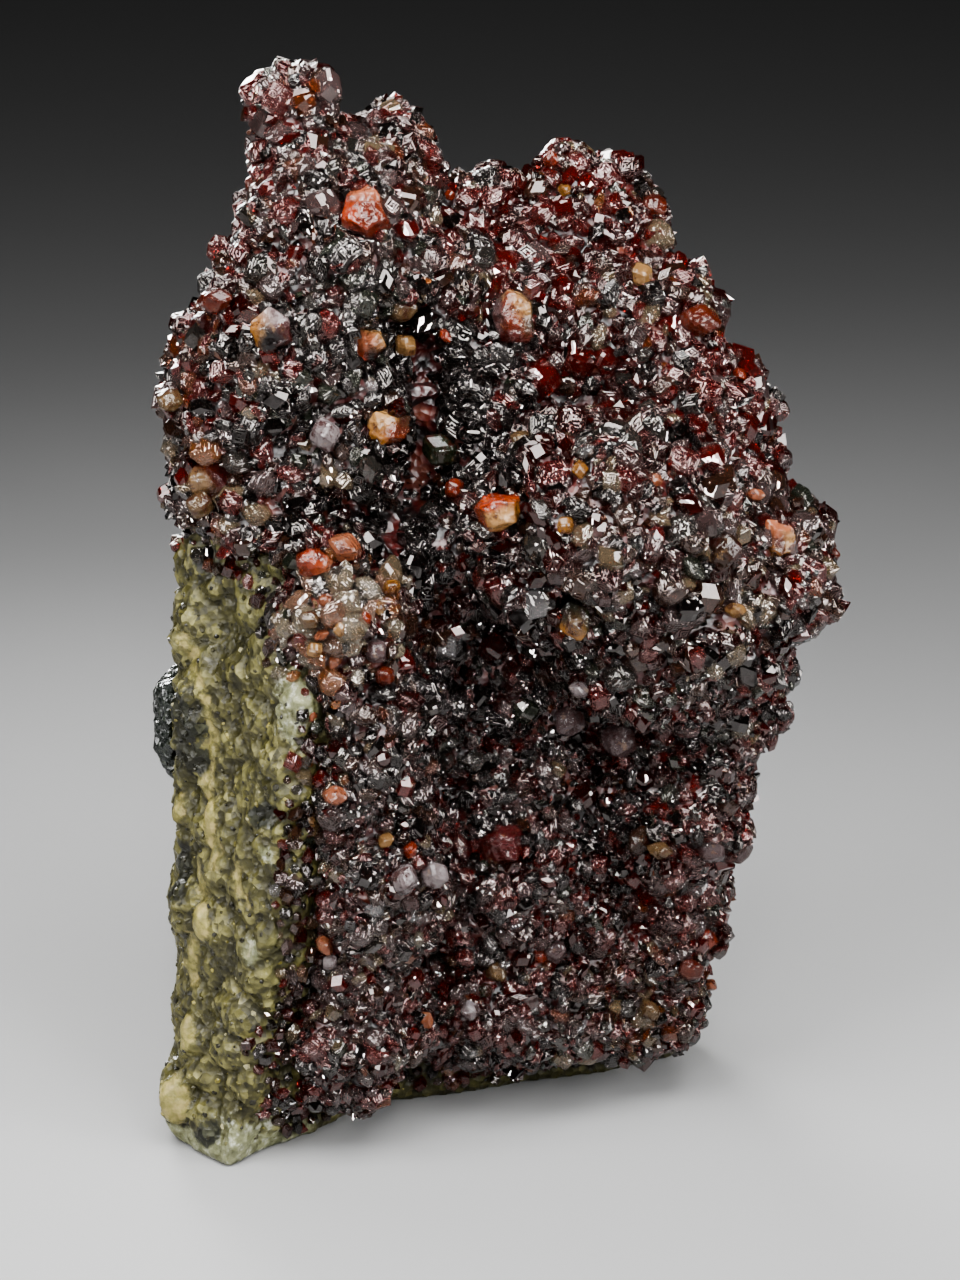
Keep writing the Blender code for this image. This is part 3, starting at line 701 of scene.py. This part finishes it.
def make_collars(pattern, chance):
    """Small crystals grown round the rims of the single crystals."""
    centres, tints = [], []
    for node, (share, _) in SINGLE_CRYSTALS.items():
        solid = copy_of_node(node, f"{node}_rim")
        points, normals = scattered(solid, 0.9 * MM, chance, np.ones(len(solid.data.vertices), bool))
        middle = points_of(solid).mean(axis=0)
        bpy.data.objects.remove(solid)
        ways = (points - middle) / np.linalg.norm(points - middle, axis=1, keepdims=True)
        rim = ways @ COLLAR_FACING
        kept = (rim < 0.30) & (rim > -0.55)
        close_in = middle + (points[kept] - middle) * (np.array(share) + 0.06)
        places = np.vstack([points[kept], close_in[rim[kept] < 0.15]])
        centres.append(places)
        tints.append(garnet_tints(places, chance))
    centres, tints = np.vstack(centres), np.vstack(tints)
    widths = chance.uniform(0.8, 1.7, len(centres)) * MM
    return joined_copies("collar_crystals", pattern, centres, widths, tints, chance)


def finish_piece(piece, material, node):
    piece.data.materials.clear()
    piece.data.materials.append(material)
    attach(piece, "root")
    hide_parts(node)


def distance_to_line(points, line):
    """How far each point is from a line through given points."""
    line = np.array(line)
    least = np.full(len(points), np.inf)
    for start, end in zip(line[:-1], line[1:]):
        along = ((points - start) @ (end - start) / ((end - start) @ (end - start))).clip(0.0, 1.0)
        least = np.minimum(least, np.linalg.norm(points - start - along[:, None] * (end - start), axis=1))
    return least


def nearness_to(points, spots):
    """1 in the middle of the nearest spot, 0.5 at its edge, and 0 far from all of them."""
    near = [0.5 ** ((np.linalg.norm(points - centre, axis=1) / reach) ** 2) for centre, reach in spots]
    return np.max(near, axis=0)


def domes(points, bumps):
    """How far rounded bumps push out the points, in millimetres, and 1 on each bump falling to 0."""
    push = np.zeros(len(points))
    near = np.zeros(len(points))
    for centre, wide, high, out in bumps:
        across = np.linalg.norm(points[:, :2] - centre[:2], axis=1) / wide
        along = (points[:, 2] - centre[2]) / high
        inside = np.clip(1.0 - across**2 - along**2, 0.0, 1.0)
        push = np.maximum(push, out * np.sqrt(inside))
        near = np.maximum(near, inside)
    return push, near


def rock_relief(points):
    """Height of the rough rock at each point in millimetres, and how deep it lies in a crack, 0 to 1, which the rock's
    finish turns into painted shade.
    """
    heights = np.empty(len(points))
    shaded_crevices = np.empty(len(points))
    for index, point in enumerate(map(Vector, points)):
        wander = noise.noise_vector(point * 0.7) * 0.6
        coarse = noise.voronoi((point + wander) / 4.2)[0]
        medium = noise.voronoi((point + wander) / 1.5)[0]
        fine = noise.noise(point * 2.2)
        coarse_gap = min((coarse[1] - coarse[0]) * 2.2, 1.0)
        medium_gap = min((medium[1] - medium[0]) * 1.8, 1.0)
        heights[index] = 1.05 * coarse_gap**0.5 + 0.30 * medium_gap**0.6 + 0.14 * fine - 0.85
        shaded_crevices[index] = 1.0 - min(coarse_gap * 1.6, 1.0) * min(medium_gap * 1.3, 1.0)
    return heights, shaded_crevices


def rock_zones(points):
    """Red: the pale band and knobs. Green: dark skin. Blue: glassy pale rock."""
    knobs = np.sqrt(domes(points, KNOBS)[1])
    rim = np.clip((3.2 - points[:, 2]) / 1.5, 0.0, 1.0) * np.clip((-8.0 - points[:, 0]) / 2.0, 0.0, 1.0) * 0.8
    rim *= np.clip((-9.0 - points[:, 1]) / 4.0, 0.0, 1.0)
    points = points + 0.9 * np.array([noise.noise_vector(point * 0.45) for point in map(Vector, points)])
    away = distance_to_line(points, PALE_BAND)
    for streak in PALE_STREAKS:
        away = np.minimum(away, distance_to_line(points, streak))
    band = 0.5 ** ((away / PALE_BAND_HALF_WIDTH) ** 2)
    dark = np.maximum(nearness_to(points, DARK_PATCHES), np.clip((points[:, 2] - 45.0) / 8.0, 0.0, 0.34))
    glassy = np.maximum(nearness_to(points, GLASSY_PATCHES), rim)
    return np.column_stack([np.maximum(band * 0.95, knobs * 1.7), dark, glassy])


def olive_rock():
    """Olive rock of small grains, with painted shade in its cracks, a pale band, dark skin and glassy patches."""
    material, shader, place = new_material("olive_rock_finish", IOR=1.55, Specular_IOR_Level=0.3)
    zones = place.node("ShaderNodeAttribute", {"attribute_name": "zones"})
    split = zones.node("ShaderNodeSeparateColor", None, _0=zones)
    broad = place.noise(5.0, 3.0)
    fine = place.noise(0.8, 4.0, 0.6)
    ragged = (fine - 0.5) * 1.1 + (broad - 0.5) * 0.5
    pale = (split + ragged * 1.3).ramp(0.40, 0.90)
    dark = (split.part("Green") + ragged).ramp(0.40, 0.62)
    glassy = (split.part("Blue") + ragged).ramp(0.42, 0.74)
    grains = place.cells(0.75)
    grain = grains.node("ShaderNodeSeparateColor", None, _0=grains.part("Color"))
    tone = grain * 0.55 + fine * 0.9 - 0.22
    olive = tone.colours(
        (0.12, rgb(0.016, 0.014, 0.005)), (0.34, rgb(0.056, 0.051, 0.017)), (0.56, rgb(0.115, 0.105, 0.037)),
        (0.84, rgb(0.230, 0.210, 0.088)),
    )
    mossy = (broad.ramp(0.45, 0.65) * 0.45).mix(olive, rgb(0.110, 0.104, 0.032))
    skin = tone.colours((0.20, rgb(0.004, 0.004, 0.002)), (0.55, rgb(0.014, 0.015, 0.008)), (0.85, rgb(0.055, 0.056, 0.032)))
    glass = fine.colours((0.30, rgb(0.100, 0.105, 0.048)), (0.55, rgb(0.210, 0.215, 0.125)), (0.70, rgb(0.50, 0.51, 0.43)))
    band = fine.colours((0.25, rgb(0.090, 0.082, 0.022)), (0.46, rgb(0.220, 0.195, 0.064)), (0.64, rgb(0.340, 0.280, 0.115)))
    colour = glassy.mix(mossy, glass)
    colour = pale.mix(colour, band)
    colour = dark.mix(colour, skin)
    # Painted shade: the rock darkens towards near black the deeper it lies in a crack, less on the pale band and glassy
    # patches
    painted_crevice_shade = (zones.part("Alpha") + (fine - 0.5) * 0.8).ramp(0.40, 1.05) * (1.0 - pale * 0.6) * (1.0 - glassy * 0.7)
    colour = (painted_crevice_shade * 0.85).mix(colour, rgb(0.009, 0.008, 0.004))
    roughness = grain.part("Green") * 0.35 + 0.22
    height = grains * (1.0 - pale * 0.7)
    normal = bump(place.noise(0.22, 3.0), 0.05, bump(height, 0.22))
    feed(shader, Base_Color=colour, Roughness=roughness, Normal=normal)
    return material


def grain_finish():
    """The loose-looking grains of the rock, each with its own colour."""
    material, shader, place = new_material("rock_grain_finish", IOR=1.55, Specular_IOR_Level=0.4)
    tint = place.node("ShaderNodeAttribute", {"attribute_name": "tint"})
    fine = place.noise(0.3, 3.0)
    shade = (fine.ramp(0.35, 0.7) * 0.4).mix(tint, rgb(0.035, 0.031, 0.012))
    roughness = tint.part("Alpha") * 0.5 + 0.15
    feed(shader, Base_Color=shade, Roughness=roughness, Normal=bump(fine, 0.08))
    return material


def make_matrix():
    chance = np.random.default_rng(SEED + 1)
    rock = copy_of_node("matrix", "matrix_rock")
    add_skin(rock, MATRIX_VOXEL, 2)
    apply_modifiers(rock)
    points = points_of(rock) / MM
    normals = normals_of(rock)
    heights, shaded_crevices = rock_relief(points)
    zones = rock_zones(points)
    knobs, _ = domes(points, KNOBS)
    nodules, _ = domes(points, NODULES)
    heights = heights * (1.0 - 0.75 * zones[:, 0].clip(0.0, 1.0) - 0.3 * zones[:, 2]) + knobs + nodules
    held = np.clip((points[:, 2] - MATRIX_BASE_KEPT) / 1.5, 0.0, 1.0)
    moved = points + normals * (heights * held)[:, None]
    moved[:, 2] = np.maximum(moved[:, 2], points[:, 2].min())
    set_points(rock, moved * MM)
    # The fourth value of zones is how deep each point lies in a crack, painted as shade by the rock's finish
    paint(rock, "zones", np.column_stack([zones, shaded_crevices]))
    finish_piece(rock, olive_rock(), "matrix")

    off_crust = distances_to(tree_of(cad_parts["garnet_crust"]), moved * MM)
    off_base = moved[:, 2] > 0.9
    grains, normals = scattered(rock, GRAIN_SPACING * MM, chance, (off_crust > 0.3) & off_base)
    zones = rock_zones(grains / MM)
    bare = zones[:, 0] + 0.5 * zones[:, 2] < 0.4
    bare &= (normals[:, 1] < 0.3) | (chance.random(len(grains)) < GRAINS_AT_BACK)
    grains, normals, zones = grains[bare], normals[bare], zones[bare]
    shares = np.array([share for _, share in GRAIN_COLOURS])
    picked = chance.choice(len(shares), len(grains), p=shares / shares.sum())
    colours = np.array([colour for colour, _ in GRAIN_COLOURS])[picked]
    colours *= 1.0 - 0.7 * zones[:, 1:2]
    tints = np.hstack([colours, chance.random((len(grains), 1))])
    widths = chance.uniform(*GRAIN_ACROSS, len(grains)) * MM
    deselect_all()
    bpy.ops.mesh.primitive_ico_sphere_add(subdivisions=1, radius=0.5)
    pattern = taken_pattern(bpy.context.object)
    centres = grains - normals * widths[:, None] * 0.18
    piece = joined_copies("matrix_grains", pattern, centres, widths, tints, chance, (0.6, 1.2))
    finish_piece(piece, grain_finish(), "matrix")
    heights, reaches = zip(*STRAYS_REACH)
    reach = np.interp(moved[:, 2], heights, reaches)
    make_strays(rock, (off_crust > 0.25) & (off_crust < reach) & off_base, chance)


def make_strays(rock, beside_crust, chance):
    """Garnet crystals strewn on the rock beside the crust."""
    points, normals = scattered(rock, 0.95 * MM, chance, beside_crust)
    widths = chance.uniform(0.6, 1.5, len(points)) * MM
    centres = points + normals * widths[:, None] * 0.1
    tints = garnet_tints(points, chance)
    strays = joined_copies("stray_crystals", crystal_patterns()["dodecahedron"], centres, widths, tints, chance)
    finish_piece(strays, bpy.data.materials["garnet_glass"], "garnet_crust")


def make_lump():
    lump = copy_of_node("dark_lump", "dark_lump_rock")
    add_skin(lump, LUMP_VOXEL, 3)
    add_relief(lump, "VORONOI", 1.5, 0.5, 0.4, distance_metric="MANHATTAN")
    add_relief(lump, "CLOUDS", 0.5, 0.25, 0.5, noise_depth=2)
    apply_modifiers(lump)
    material, shader, place = new_material("dark_rock_finish", IOR=1.6)
    fine = place.noise(0.5, 4.0, 0.65)
    base = fine.colours((0.35, rgb(0.003, 0.004, 0.003)), (0.55, rgb(0.010, 0.013, 0.010)), (0.75, rgb(0.060, 0.068, 0.045)))
    scales = place.cells(0.8, "MANHATTAN")
    feed(shader, Base_Color=base, Roughness=fine.ramp(0.3, 0.7) * 0.3 + 0.12, Normal=bump(scales, 0.4))
    finish_piece(lump, material, "dark_lump")


def single_finish():
    """Broken garnet, lighter and less clear than the crust's."""
    material, shader, place = new_material("single_garnet_finish", IOR=1.74, Transmission_Weight=0.35, Specular_IOR_Level=0.14)
    tint = place.node("ShaderNodeAttribute", {"attribute_name": "tint"})
    fine = place.noise(0.35, 3.0)
    veins = place.noise(1.3, 4.0, 0.7)
    deeper = (veins.ramp(0.50, 0.64) * 0.8).mix(tint, rgb(0.035, 0.006, 0.004))
    lighter = (veins.ramp(0.40, 0.26) * 0.45).mix(deeper, rgb(0.36, 0.22, 0.11))
    normal = bump(fine, 0.03, bump(place.cells(0.7, "MANHATTAN"), 0.07))
    feed(shader, Base_Color=lighter, Roughness=fine.ramp(0.3, 0.7) * 0.20 + 0.05, Normal=normal)
    return material


def make_single_crystals():
    """The larger single crystals, broken on random faces, each in its own colours with painted light, shade and glints
    by facing.
    """
    chance = np.random.default_rng(SEED + 2)
    finish = bpy.data.materials["single_garnet_finish"]
    for node, (kept, colours) in SINGLE_CRYSTALS.items():
        crystal = copy_of_node(node, f"{node}_broken")
        points = points_of(crystal)
        middle = (points.max(axis=0) + points.min(axis=0)) / 2.0
        half = (points.max(axis=0) - points.min(axis=0)).mean() / 2.0
        narrowing = 1.0 + TAPERS.get(node, 0.0) * (points[:, 2:] - middle[2]) / half
        set_points(crystal, middle + (points - middle) * kept * np.hstack([narrowing, narrowing**0, narrowing**0]))
        make_active(crystal)
        bpy.ops.object.mode_set(mode="EDIT")
        for _ in range(7):
            way = chance.normal(size=3) + (0.0, -0.8, 0.2)
            way /= np.linalg.norm(way)
            place = middle + way * half * chance.uniform(0.55, 0.80)
            bpy.ops.mesh.select_all(action="SELECT")
            bpy.ops.mesh.bisect(plane_co=place, plane_no=way, use_fill=True, clear_outer=True)
        bpy.ops.mesh.select_all(action="SELECT")
        bpy.ops.mesh.dissolve_limited(angle_limit=math.radians(1.0))
        bpy.ops.mesh.select_all(action="SELECT")
        bpy.ops.mesh.bevel(offset=0.07 * MM, segments=1, affect="EDGES")
        bpy.ops.mesh.select_all(action="SELECT")
        bpy.ops.mesh.quads_convert_to_tris()
        bpy.ops.mesh.subdivide(number_cuts=3)
        bpy.ops.object.mode_set(mode="OBJECT")
        add_relief(crystal, "VORONOI", 1.4, 0.22, 0.5, distance_metric="MANHATTAN")
        apply_modifiers(crystal)
        crystal.data.shade_flat()
        points = points_of(crystal)
        ways = points - middle
        ways /= np.linalg.norm(ways, axis=1, keepdims=True)
        facing = np.array([way for way, _ in colours], float)
        facing /= np.linalg.norm(facing, axis=1, keepdims=True)
        patches = np.array([[noise.noise(point / MM * 0.55 + Vector((index * 17.0, 0.0, 0.0)))
                             for index in range(len(colours))] for point in map(Vector, points)])
        # Painted light and shade: each point takes the colours of the ways it faces, lighter upwards and darker below
        # on several crystals
        weights = np.exp(9.0 * (ways @ facing.T + 0.5 * patches))
        weights /= weights.sum(axis=1, keepdims=True)
        tints = weights @ np.array([SINGLE_COLOURS[colour] for _, colour in colours])
        paint(crystal, "tint", np.hstack([tints, np.ones((len(points), 1))]))
        finish_piece(crystal, finish, node)


def make_stage():
    deselect_all()
    bpy.ops.mesh.primitive_plane_add(size=8.0, location=(0.0, 0.0, -0.0002))
    floor = bpy.context.object
    floor.name = "floor"
    material, shader, _ = new_material("pale_floor", Base_Color=rgb(0.285, 0.285, 0.285), Roughness=0.9)
    floor.data.materials.append(material)


def make_softbox(name, place, aim, size, power, spread=180.0):
    light = bpy.data.lights.new(name, "AREA")
    light.shape = "RECTANGLE"
    light.size, light.size_y = size
    light.energy = power
    light.spread = math.radians(spread)
    box = link(name, light)
    box.visible_camera = False
    box.location = place
    box.rotation_euler = (Vector(place) - Vector(aim)).to_track_quat("Z", "Y").to_euler()


def make_lights():
    aim = (0.0, 0.0, 0.05)
    make_softbox("top_box", (0.01, -0.09, 0.21), aim, (0.20, 0.11), 0.77)
    make_softbox("back_box", (-0.09, 0.10, 0.22), (0.0, -0.02, 0.02), (0.14, 0.10), 0.14, spread=140.0)
    make_softbox("left_box", (-0.20, -0.12, 0.11), aim, (0.08, 0.12), 0.30)
    make_softbox("right_box", (0.20, -0.12, 0.11), aim, (0.08, 0.12), 0.36)
    for turn, rise, power in ((-75, 5, 0.06), (-40, 60, 0.08), (-25, 35, 0.10), (25, 38, 0.10), (50, 62, 0.08), (80, 8, 0.08), (0, 20, 0.18), (-30, 10, 0.10), (32, 12, 0.14)):
        a, e = math.radians(turn), math.radians(rise)
        make_softbox(f"strip_{turn}", (0.22 * math.sin(a) * math.cos(e), -0.22 * math.cos(a) * math.cos(e), 0.05 + 0.22 * math.sin(e)), aim, (0.01, 0.07), power)
    make_softbox("rear_box", (-0.10, 0.26, 0.13), aim, (0.12, 0.09), 0.12, spread=50.0)
    make_softbox("far_box", (0.0, 0.75, 0.5), (0.0, 0.75, 0.0), (0.6, 0.3), 0.10)
    make_softbox("far_front_box", (0.0, -1.0, 0.5), (0.0, -1.0, 0.0), (0.6, 0.3), 0.10, spread=110.0)
    world = bpy.data.worlds.new("studio")
    bpy.context.scene.world = world
    world.use_nodes = True
    world.node_tree.nodes["Background"].inputs["Color"].default_value = rgb(0.012, 0.012, 0.012)


def make_camera():
    data = bpy.data.cameras.new("camera")
    data.lens = CAMERA_LENS
    data.sensor_width = 36.0
    camera = link("camera", data)
    back = Vector((0.0, -math.cos(VIEW_ELEVATION), math.sin(VIEW_ELEVATION)))
    camera.location = (Vector(VIEW_TARGET) + back * VIEW_DISTANCE) * MM
    camera.rotation_euler = back.to_track_quat("Z", "Y").to_euler()
    bpy.context.scene.camera = camera


make_camera()
make_stage()
make_lights()
make_crust()
make_matrix()
make_lump()
make_single_crystals()

bpy.context.scene.view_settings.look = "AgX - Medium High Contrast"
